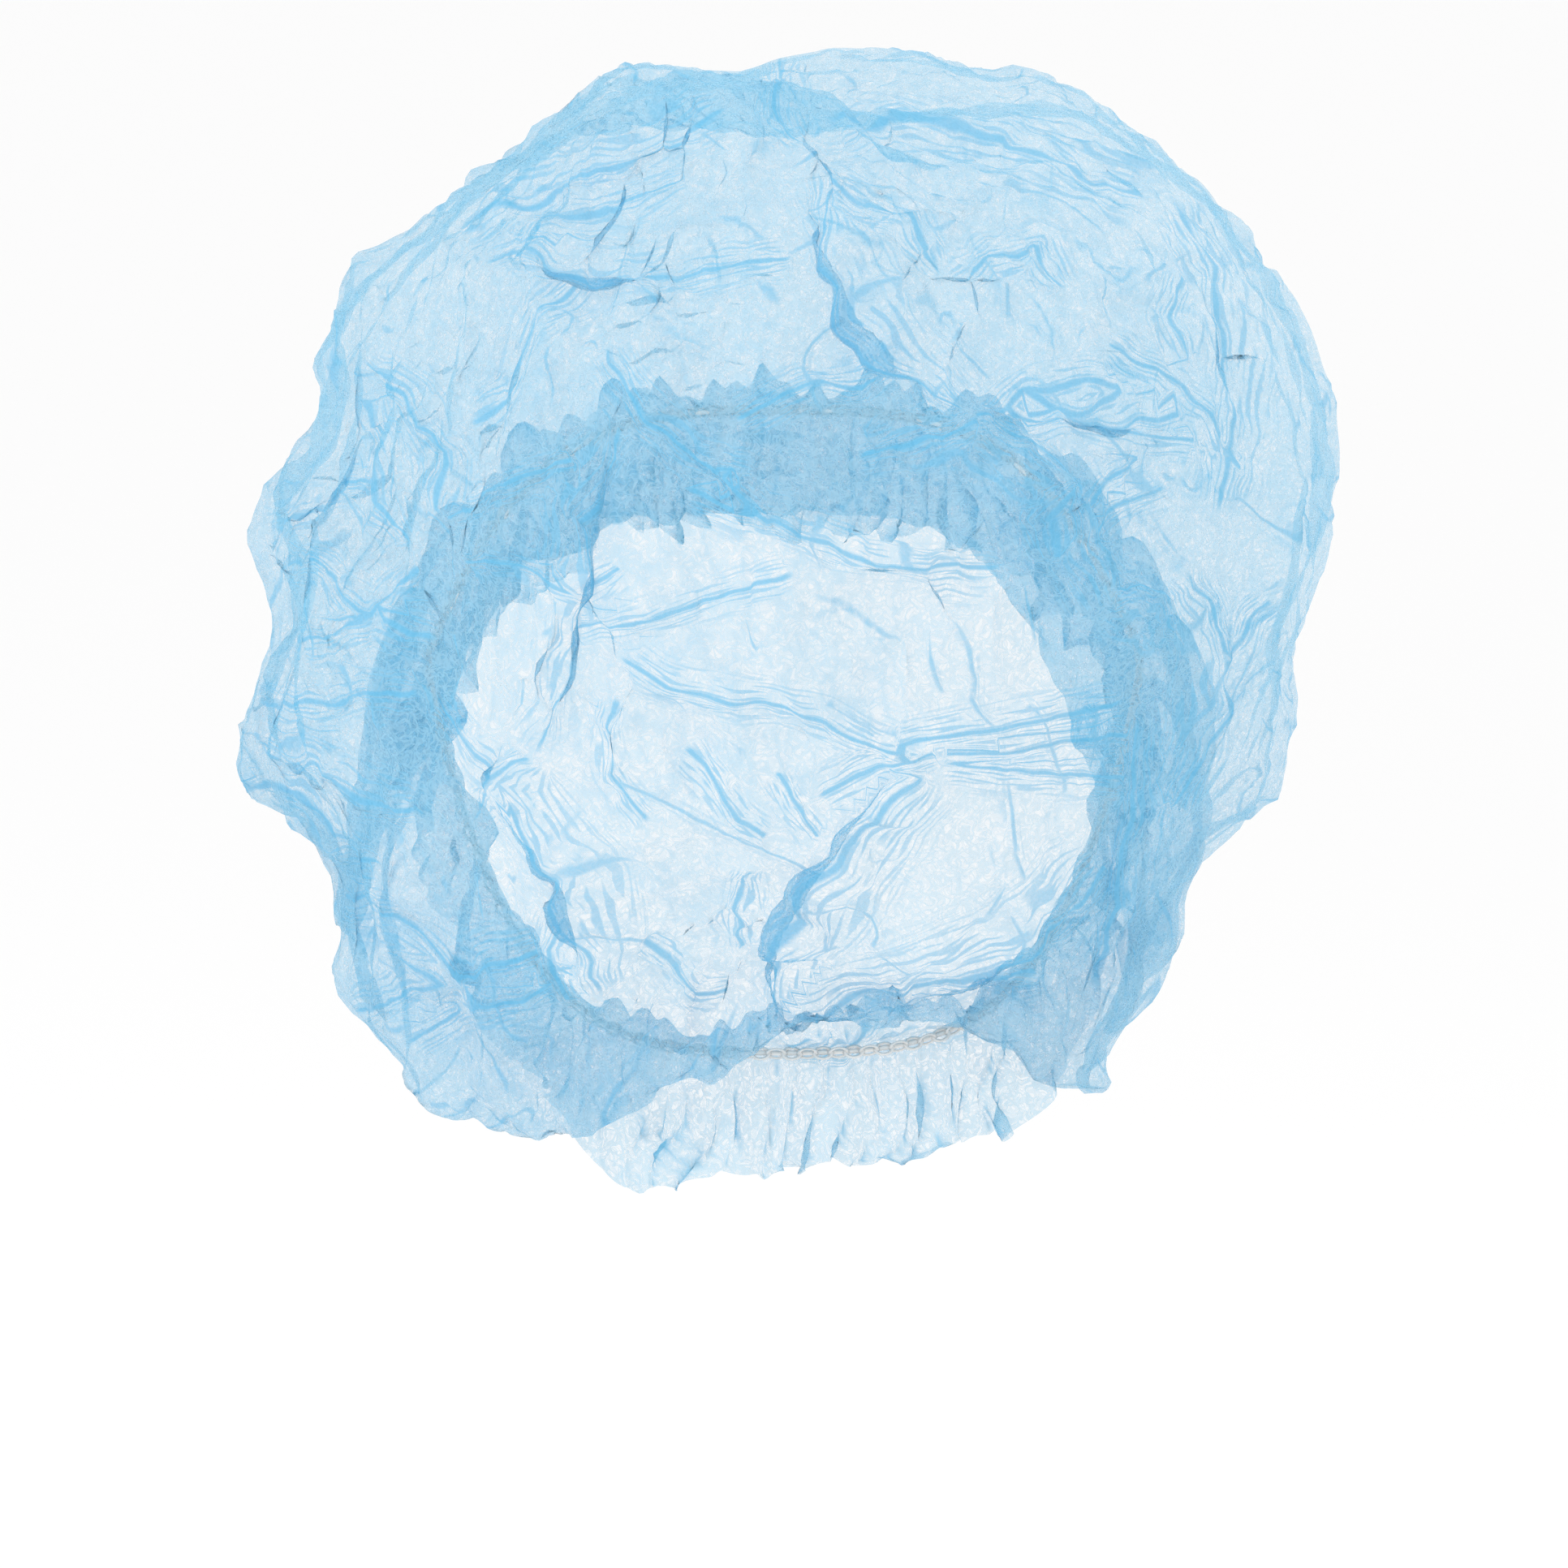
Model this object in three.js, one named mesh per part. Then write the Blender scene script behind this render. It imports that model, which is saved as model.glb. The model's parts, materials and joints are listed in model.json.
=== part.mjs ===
// A disposable bouffant cap of thin non-woven cloth, in the form it has when worn.
// The cloth is one sheet: it is dented where it lies on the top of the head, puffs out all round,
// hangs in lobes beside the nape, turns up under itself to a gathered waist, and ends in a frill.
// The elastic cord is a closed loop that lies against the outside of the cloth at the waist.
// Millimetres, +Z up, +Y to the front of the head, +X to the right of somebody looking at the nape.
// The origin is on the inside of the cloth, where the top of the head carries it.

import * as THREE from "three";

// Sizes of the puffed crown
const CROWN_BREADTH = 231;
const BACK_DEPTH = 114;
const FRONT_DEPTH = 124;
const CROWN_RISE = 12;
const CLOTH_WALL = 1.2;

// Sizes of the elastic loop as it lies round the head
const ELASTIC_BREADTH = 148;
const ELASTIC_BACK = 78;
const ELASTIC_FRONT = 94;
const ELASTIC_DROP_BACK = 176;
const ELASTIC_DROP_SIDE = 108;
const ELASTIC_DROP_FRONT = 68;
const CORD_DIAMETER = 2.4;
const CORD_CLEARANCE = 0.4;

// Sizes of the frill below the elastic, and of the gathers on both sides of it
const FRILL_LENGTH = 26;
const FRILL_FLARE = 7;
const GATHER_COUNT = 21;
const GATHER_DEPTH = 2.4;

// Sizes of the puffs and dents, and of the folds that lie across the crown
const PUFF_HEIGHT = 15;
const FOLD_WIDTH = 22;
const FOLD_HEIGHT = 6;

// Fineness of the faceted surfaces
const TURNS_PER_GATHER = 4;
const CORD_STATIONS = 72;
const CORD_SIDES = 6;

// A list of rows with named columns, from the columns' names and each row's values in that order.
function table(columns, rows) {
  return rows.map((row) => Object.fromEntries(columns.map((column, i) => [column, row[i]])));
}

// Sections of the crown, from the seat on the head down to where the cloth turns under.
// left and right are shares of half the crown's breadth, back and front of the depths, and rise of
// the crown's rise. The falls are shares of the elastic's drop at the back, the sides and the front.
// gather is a share of the gathers' depth, and rings is how many rings of points lead to the section.
const CROWN_SECTIONS = table(
  ["name", "rings", "left", "right", "back", "front", "rise", "fallBack", "fallSide", "fallFront", "gather"],
  [
    ["seat", 0, 0, 0, 0, 0, 0, 0, 0, 0, 0],
    ["dent", 1, 0.16, 0.17, 0.17, 0.15, 0.35, 0, 0, 0, 0],
    ["rim", 2, 0.38, 0.5, 0.5, 0.48, 1, 0, 0.02, 0, 0.1],
    ["brow", 2, 0.53, 0.7, 0.75, 0.74, 0.6, 0.02, 0.09, 0.05, 0.2],
    ["shoulder", 2, 0.7, 0.86, 0.9, 0.91, 0.1, 0.1, 0.25, 0.26, 0.3],
    ["upper", 3, 0.84, 0.97, 0.98, 1, 0, 0.27, 0.51, 0.6, 0.4],
    ["middle", 3, 0.92, 0.98, 1, 0.99, 0, 0.48, 0.81, 0.94, 0.5],
    ["lower", 3, 0.965, 0.91, 0.96, 0.95, 0, 0.69, 1.12, 1.18, 0.6],
    ["hang", 2, 0.9, 0.79, 0.86, 0.89, 0, 0.86, 1.37, 1.33, 0.8],
    ["hem", 2, 0.77, 0.63, 0.75, 0.83, 0, 0.97, 1.57, 1.37, 0.8],
  ],
);

// Sections of the waist and the frill, measured from the middle of the cord.
// out and up are shares of the cord's radius with its clearance, climb is a share of the way from
// the cord's level down to the hem's, and flare and fall are shares of the frill's flare and length.
const WAIST_SECTIONS = table(
  ["name", "rings", "out", "up", "climb", "flare", "fall", "gather"],
  [
    ["tuck", 2, 7.2, 0.9, 0.5, 0, 0, 0.5],
    ["turn_over", 2, 3.5, 2.8, 0, 0, 0, 0.3],
    ["over_cord", 1, 0.4, 2, 0, 0, 0, 0.15],
    ["waist", 1, -1.1, 0.2, 0, 0, 0, 0.05],
    ["below_cord", 1, -1.2, -2, 0, 0, 0.04, 0.2],
    ["frill", 2, -1.2, 0, 0, 0.55, 0.55, 0.8],
    ["edge", 1, -1.2, 0, 0, 1, 1, 1.1],
  ],
);

// Puffs and dents of the cloth. turn and spread are degrees round from the nape, positive to the
// right; at and reach count sections down from the seat; out and drop are shares of the puff height,
// out of the cloth and straight down.
const PUFFS = table(
  ["name", "turn", "spread", "at", "reach", "out", "drop"],
  [
    ["saddle_left", -92, 24, 2.3, 0.9, -0.45, 0],
    ["saddle_right", 96, 20, 2.2, 0.9, -0.35, 0],
    ["back_lobe", -16, 20, 2.3, 0.7, 0.55, 0],
    ["back_lobe_dip", 34, 20, 2.5, 0.8, -0.45, 0],
    ["front_lobe_left", -146, 20, 3.3, 0.9, 0.2, 0],
    ["front_dip_left", -160, 16, 2.3, 0.6, -0.35, 0],
    ["front_lobe_right", 138, 26, 3.1, 1, 0.1, 0],
    ["left_brow", -84, 16, 4.4, 0.4, 0.4, 0],
    ["left_notch", -86, 18, 5.2, 0.35, -0.25, 0],
    ["left_cheek", -90, 18, 5.85, 0.3, 0.35, 0],
    ["left_waist_dent", -84, 15, 6.4, 0.25, -0.3, 0],
    ["left_bulge", -86, 20, 7.1, 0.35, 0.25, 0],
    ["left_hollow", -78, 16, 8, 0.35, -0.4, 0],
    ["left_lobe", -38, 18, 9, 0.8, 0.1, 1.7],
    ["left_lobe_tip", -68, 13, 8.9, 0.6, 0.45, 0.7],
    ["right_notch", 90, 16, 6.6, 0.35, -0.2, 0],
    ["right_bulge", 84, 16, 7.3, 0.3, 0.35, 0],
    ["right_hollow", 74, 16, 8.2, 0.35, -0.3, 0],
    ["right_lobe", 56, 17, 9, 0.75, 0.35, 1.4],
    ["nape_dent", -4, 14, 8.2, 0.6, -0.3, 0],
    ["temple_dent_left", -122, 12, 6.4, 1.1, -0.4, 0],
    ["temple_dent_right", 120, 12, 6, 1.1, -0.4, 0],
    ["front_dent", 178, 14, 5.6, 1, -0.35, 0],
  ],
);

// Folds that stand up from the cloth, each from one place to another. turn and at are as above;
// width and height are shares of the fold's width and height.
const FOLDS = table(
  ["name", "turn", "at", "toTurn", "toAt", "width", "height"],
  [
    ["crown_pleat", 4, 2.8, 12, 4.3, 0.9, 0.8],
    ["back_pleat", 12, 4.3, 19, 5.1, 1, 1],
    ["back_pleat_right", 19, 5.1, 28, 5.7, 1.1, 1.1],
    ["side_pleat_right", 28, 5.7, 44, 6.2, 1, 1],
    ["middle_crease", -11, 5.3, 22, 5.8, 0.8, 0.6],
    ["lower_crease", -18, 6.1, 15, 6.7, 0.8, 0.7],
    ["lower_crease_right", 15, 6.7, 38, 6.5, 0.8, 0.5],
    ["nape_pleat", 15, 6.8, -1, 8.4, 0.9, 0.9],
    ["nape_band", 36, 7.2, 6, 8.6, 0.9, 0.6],
    ["left_ridge_top", -17, 4.4, -22, 5.4, 0.8, 0.7],
    ["left_ridge", -22, 5.4, -29, 6.9, 1, 1.1],
    ["left_ribbon", -29, 6.9, -19, 8.2, 1, 0.9],
    ["left_spindle", -36, 3.9, -12, 3.8, 0.8, 0.6],
    ["left_side_fold", -64, 4.2, -56, 7.6, 1.1, 1],
    ["left_cheek_fold", -100, 3.6, -110, 7, 1.1, 1],
    ["right_side_fold", 62, 3.6, 58, 7.4, 1.2, 1.1],
    ["right_cheek_fold", 104, 3.8, 100, 7.2, 1.1, 1],
    ["front_fold_left", -150, 3.4, -142, 7.2, 1.1, 1],
    ["front_fold", 166, 4, 158, 7.6, 1.1, 1],
    ["front_fold_right", 132, 4.4, 140, 7.4, 1, 0.9],
  ],
);

// How far round and down two points lie apart that measure the cloth's slope, in radians and sections
const SLOPE_STEP = 0.02;

const HALF_BREADTH = CROWN_BREADTH / 2;
const TURNS = GATHER_COUNT * TURNS_PER_GATHER;
const CORD_RADIUS = CORD_DIAMETER / 2;
const CORD_HOLD = CORD_RADIUS + CORD_CLEARANCE;
const HEM = crownSection(CROWN_SECTIONS[CROWN_SECTIONS.length - 1]);
const SECTIONS = [...CROWN_SECTIONS.map(crownSection), ...WAIST_SECTIONS.map(waistSection)];
const LAST = SECTIONS.length - 1;
const KNOTS = knotsOf(SECTIONS);

// A crown section's reach and level in millimetres on the four sides of the head.
function crownSection(row) {
  const top = CLOTH_WALL + row.rise * CROWN_RISE;
  return {
    rings: row.rings,
    gather: row.gather * GATHER_DEPTH,
    left: row.left * HALF_BREADTH,
    right: row.right * HALF_BREADTH,
    back: row.back * BACK_DEPTH,
    front: row.front * FRONT_DEPTH,
    backLevel: top - row.fallBack * ELASTIC_DROP_BACK,
    sideLevel: top - row.fallSide * ELASTIC_DROP_SIDE,
    frontLevel: top - row.fallFront * ELASTIC_DROP_FRONT,
  };
}

// The same for a section that follows the elastic. Where the hem hangs below the elastic, the cloth
// climbs back up to it.
function waistSection(row) {
  const out = row.out * CORD_HOLD + row.flare * FRILL_FLARE;
  const up = row.up * CORD_HOLD - row.fall * FRILL_LENGTH;
  const level = (drop, hemLevel) => up - drop + row.climb * Math.min(0, hemLevel + drop);
  return {
    rings: row.rings,
    gather: row.gather * GATHER_DEPTH,
    left: ELASTIC_BREADTH / 2 + out,
    right: ELASTIC_BREADTH / 2 + out,
    back: ELASTIC_BACK + out,
    front: ELASTIC_FRONT + out,
    backLevel: level(ELASTIC_DROP_BACK, HEM.backLevel),
    sideLevel: level(ELASTIC_DROP_SIDE, HEM.sideLevel),
    frontLevel: level(ELASTIC_DROP_FRONT, HEM.frontLevel),
  };
}

// How many millimetres down the cloth each section lies, the mean of the right side and the back.
function knotsOf(sections) {
  const knots = [0];
  for (let i = 1; i < sections.length; i++) {
    const [a, b] = [sections[i - 1], sections[i]];
    const side = Math.hypot(b.right - a.right, b.sideLevel - a.sideLevel);
    const back = Math.hypot(b.back - a.back, b.backLevel - a.backLevel);
    knots.push(knots[i - 1] + (side + back) / 2);
  }
  return knots;
}

// How far down the cloth a place between sections is, in millimetres.
function depthOf(at) {
  const i = Math.min(Math.floor(at), LAST - 1);
  return KNOTS[i] + (at - i) * (KNOTS[i + 1] - KNOTS[i]);
}

// How one of the sections' numbers changes at a section, for each millimetre of cloth.
function slopeAt(key, i) {
  const change = (k) => (SECTIONS[k + 1][key] - SECTIONS[k][key]) / (KNOTS[k + 1] - KNOTS[k]);
  if (i === 0) return change(0);
  if (i === LAST) return change(LAST - 1);
  const share = (KNOTS[i] - KNOTS[i - 1]) / (KNOTS[i + 1] - KNOTS[i - 1]);
  return change(i - 1) * (1 - share) + change(i) * share;
}

// One of the sections' numbers at any place down the cloth, by a cubic through the sections.
function between(key, at) {
  const i = Math.min(Math.floor(at), LAST - 1);
  const span = KNOTS[i + 1] - KNOTS[i];
  const t = at - i;
  const rest = 1 - t;
  return (
    SECTIONS[i][key] * (1 + 2 * t) * rest * rest +
    SECTIONS[i + 1][key] * (3 - 2 * t) * t * t +
    slopeAt(key, i) * span * t * rest * rest -
    slopeAt(key, i + 1) * span * rest * t * t
  );
}

// How far a place round the head takes the sides' level and not the back's or the front's.
// The fourth power keeps the elastic level across the nape and lets it climb behind the ears.
function sideShare(turn) {
  return Math.sin(turn) ** 4;
}

// A point of the smooth cloth, turn radians round from the nape and at sections down from the seat.
function smoothPoint(turn, at) {
  const [s, c, side] = [Math.sin(turn), Math.cos(turn), sideShare(turn)];
  const x = between(s > 0 ? "right" : "left", at) * s;
  const y = -between(c > 0 ? "back" : "front", at) * c;
  const level = between(c > 0 ? "backLevel" : "frontLevel", at);
  return new THREE.Vector3(x, y, between("sideLevel", at) * side + level * (1 - side));
}

// The way out of the smooth cloth at a point.
function outward(turn, at) {
  const middle = Math.max(at, SLOPE_STEP);
  const down = smoothPoint(turn, Math.min(middle + SLOPE_STEP, LAST)).sub(smoothPoint(turn, middle - SLOPE_STEP));
  const round = smoothPoint(turn + SLOPE_STEP, middle).sub(smoothPoint(turn - SLOPE_STEP, middle));
  return down.cross(round).normalize();
}

// A smooth bump, 1 at the middle and 0 from one reach away.
function bump(distance, reach) {
  const share = Math.min(Math.abs(distance) / reach, 1);
  return (1 - share * share) ** 2;
}

// The turn from one direction to another, from minus half a turn to half a turn.
function turnBetween(a, b) {
  return Math.atan2(Math.sin(a - b), Math.cos(a - b));
}

// How far the puffs and dents move the cloth, in the way that the key names. A bump is down to about
// half its height at half its reach, so it reaches twice as far as its spread.
function puffed(key, turn, at) {
  return PUFFS.reduce((sum, puff) => {
    const [middle, spread] = [puff.turn, puff.spread].map(THREE.MathUtils.degToRad);
    const share = bump(turnBetween(turn, middle), 2 * spread) * bump(at - puff.at, 2 * puff.reach);
    return sum + puff[key] * PUFF_HEIGHT * share;
  }, 0);
}

// How far the folds move the cloth out. Each is a ridge that runs out to nothing at both ends.
function folded(turn, at) {
  return FOLDS.reduce((sum, fold) => {
    const [start, end] = [fold.turn, fold.toTurn].map(THREE.MathUtils.degToRad);
    const depth = depthOf(fold.at);
    const run = new THREE.Vector2(turnBetween(end, start) * HALF_BREADTH, depthOf(fold.toAt) - depth);
    const here = new THREE.Vector2(turnBetween(turn, start) * HALF_BREADTH, depthOf(at) - depth);
    const fromMiddle = here.dot(run) / run.length() - run.length() / 2;
    const lengthShare = bump(fromMiddle, (run.length() + FOLD_WIDTH) / 2);
    const widthShare = bump(here.cross(run) / run.length(), (fold.width * FOLD_WIDTH) / 2);
    return sum + fold.height * FOLD_HEIGHT * lengthShare * widthShare;
  }, 0);
}

// How far the gathers move the cloth. They only go inward, so that the cord's own place stays clear.
function gathered(turn, at) {
  return (between("gather", at) * (Math.cos(GATHER_COUNT * turn) - 1)) / 2;
}

// A point of the cloth's outer face.
function clothPoint(turn, at) {
  const out = puffed("out", turn, at) + folded(turn, at) + gathered(turn, at);
  const point = smoothPoint(turn, at).addScaledVector(outward(turn, at), out);
  point.z -= puffed("drop", turn, at);
  return point;
}

// The places down the cloth that get a ring of points: all but the seat, which is one point.
function ringPlaces() {
  return SECTIONS.flatMap(({ rings }, i) => Array.from({ length: rings }, (_, k) => i - 1 + (k + 1) / rings));
}

// A mesh from points and the three corners of each face.
function meshOf(name, points, faces, material) {
  const geometry = new THREE.BufferGeometry();
  geometry.setAttribute("position", new THREE.Float32BufferAttribute(points.flatMap((p) => [p.x, p.y, p.z]), 3));
  geometry.setIndex(faces);
  geometry.computeVertexNormals();
  const mesh = new THREE.Mesh(geometry, material);
  mesh.name = name;
  return mesh;
}

// The faces of a sheet whose first point is the seat and whose others lie in rings round it.
function sheetFaces(rings) {
  const faces = [];
  const point = (ring, k) => 1 + ring * TURNS + (k % TURNS);
  for (let k = 0; k < TURNS; k++) {
    faces.push(0, point(0, k), point(0, k + 1));
    for (let ring = 0; ring + 1 < rings; ring++) {
      faces.push(point(ring, k), point(ring + 1, k), point(ring + 1, k + 1));
      faces.push(point(ring, k), point(ring + 1, k + 1), point(ring, k + 1));
    }
  }
  return faces;
}

// The points of the outer face, moved in by the wall's thickness along the mean normal at each.
function innerPoints(outer, faces) {
  const normals = meshOf("outer_face", outer, faces).geometry.getAttribute("normal");
  const inner = outer.map((point, i) => {
    const normal = new THREE.Vector3().fromBufferAttribute(normals, i);
    return point.clone().addScaledVector(normal, -CLOTH_WALL);
  });
  inner[0].set(0, 0, 0);
  return inner;
}

// The whole sheet of cloth: an outer face, an inner face, and the cut edge between them.
function makeCloth() {
  const places = ringPlaces();
  const outer = [clothPoint(0, 0)];
  for (const at of places) {
    for (let k = 0; k < TURNS; k++) outer.push(clothPoint((2 * Math.PI * k) / TURNS, at));
  }
  const faces = sheetFaces(places.length);
  const inner = innerPoints(outer, faces);

  const closed = [...faces];
  const under = outer.length;
  for (let i = 0; i < faces.length; i += 3) {
    closed.push(faces[i] + under, faces[i + 2] + under, faces[i + 1] + under);
  }
  const edge = 1 + (places.length - 1) * TURNS;
  for (let k = 0; k < TURNS; k++) {
    const [a, b] = [edge + k, edge + ((k + 1) % TURNS)];
    closed.push(a, a + under, b + under, a, b + under, b);
  }
  const material = new THREE.MeshStandardMaterial({
    color: 0x8cc8e8,
    roughness: 0.85,
    metalness: 0,
    transparent: true,
    opacity: 0.55,
  });
  return meshOf("bouffant_cloth", [...outer, ...inner], closed, material);
}

// The middle of the elastic cord, turn radians round from the nape.
function cordMiddle(turn) {
  const [s, c, side] = [Math.sin(turn), Math.cos(turn), sideShare(turn)];
  const drop = c > 0 ? ELASTIC_DROP_BACK : ELASTIC_DROP_FRONT;
  return new THREE.Vector3(
    (ELASTIC_BREADTH / 2) * s,
    -(c > 0 ? ELASTIC_BACK : ELASTIC_FRONT) * c,
    -ELASTIC_DROP_SIDE * side - drop * (1 - side),
  );
}

// A ring of points round the cord, square to its run.
function cordRing(turn, step) {
  const along = cordMiddle(turn + step).sub(cordMiddle(turn - step)).normalize();
  const out = along.clone().cross(new THREE.Vector3(0, 0, 1)).normalize();
  const over = out.clone().cross(along);
  return Array.from({ length: CORD_SIDES }, (_, side) => {
    const round = (2 * Math.PI * side) / CORD_SIDES;
    return cordMiddle(turn)
      .addScaledVector(out, CORD_RADIUS * Math.cos(round))
      .addScaledVector(over, CORD_RADIUS * Math.sin(round));
  });
}

// The elastic: a closed loop of round cord.
function makeElastic() {
  const step = (2 * Math.PI) / CORD_STATIONS;
  const points = [];
  const faces = [];
  const corner = (station, side) => (station % CORD_STATIONS) * CORD_SIDES + (side % CORD_SIDES);
  for (let i = 0; i < CORD_STATIONS; i++) {
    points.push(...cordRing(i * step, step));
    for (let j = 0; j < CORD_SIDES; j++) {
      faces.push(corner(i, j), corner(i + 1, j), corner(i + 1, j + 1));
      faces.push(corner(i, j), corner(i + 1, j + 1), corner(i, j + 1));
    }
  }
  const material = new THREE.MeshStandardMaterial({ color: 0xe4e6e6, roughness: 0.7, metalness: 0 });
  return meshOf("elastic_cord", points, faces, material);
}

const cap = new THREE.Group();
cap.add(makeCloth(), makeElastic());

export default cap;
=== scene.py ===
"""The looks of a disposable bouffant cap: its gathered cloth, elastic and chain stitch."""

import json
import math

import bmesh
import bpy
import numpy as np
from mathutils import Matrix, Vector, noise

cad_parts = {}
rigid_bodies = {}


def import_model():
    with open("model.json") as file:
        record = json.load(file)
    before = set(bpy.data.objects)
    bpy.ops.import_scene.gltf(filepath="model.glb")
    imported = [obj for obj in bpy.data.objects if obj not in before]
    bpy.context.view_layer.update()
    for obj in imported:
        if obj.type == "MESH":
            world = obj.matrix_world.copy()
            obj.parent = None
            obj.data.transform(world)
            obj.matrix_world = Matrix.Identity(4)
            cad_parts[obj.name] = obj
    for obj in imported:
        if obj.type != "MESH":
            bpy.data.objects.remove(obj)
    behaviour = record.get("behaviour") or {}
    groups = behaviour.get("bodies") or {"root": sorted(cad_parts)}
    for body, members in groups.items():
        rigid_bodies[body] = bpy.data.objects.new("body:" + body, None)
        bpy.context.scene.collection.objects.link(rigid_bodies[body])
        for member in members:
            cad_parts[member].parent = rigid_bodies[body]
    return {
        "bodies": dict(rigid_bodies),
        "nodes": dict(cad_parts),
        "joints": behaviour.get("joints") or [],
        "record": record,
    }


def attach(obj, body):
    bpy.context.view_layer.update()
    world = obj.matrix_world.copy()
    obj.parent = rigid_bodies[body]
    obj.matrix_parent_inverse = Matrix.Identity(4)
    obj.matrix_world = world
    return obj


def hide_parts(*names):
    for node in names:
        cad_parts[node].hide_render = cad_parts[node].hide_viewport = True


# Sizes in metres
MM = 0.001
NAPE_CROWDING = 0.25
SIM_COLUMNS = 240
SIM_ROWS = 102
FINER = 2
COLUMNS = SIM_COLUMNS * FINER
ROWS = SIM_ROWS * FINER
SEAT_ROW = 4 * MM

# How the cloth buckles: the share of spare cloth, least and most, and how firmly each part is held
SIM_FRAMES = 24
SPARE_LEAST = 0.03
SPARE_MOST = 0.07
HOLD_CROWN = 0.3
HOLD_WAIST = 1.0
SPARE_PATCH = 1.1
SPARE_TO_LEFT = 3.0
START_DEPTH = 0.5 * MM
START_FINENESS = 90
CLOTH_STIFFNESS = 15
CLOTH_SHEAR = 5
CLOTH_BENDING = 0.02

# The photograph's frame and the camera that sees the cap as it does
PHOTO_WIDTH = 1932
PHOTO_SCALE = 0.17 * MM
PHOTO_MIDDLE_X = 967
CAMERA_ELEVATION = math.radians(10)
CAMERA_DISTANCE = 1.6
CAMERA_AIM = Vector((0, 0, -0.135))
SENSOR = 36

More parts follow.
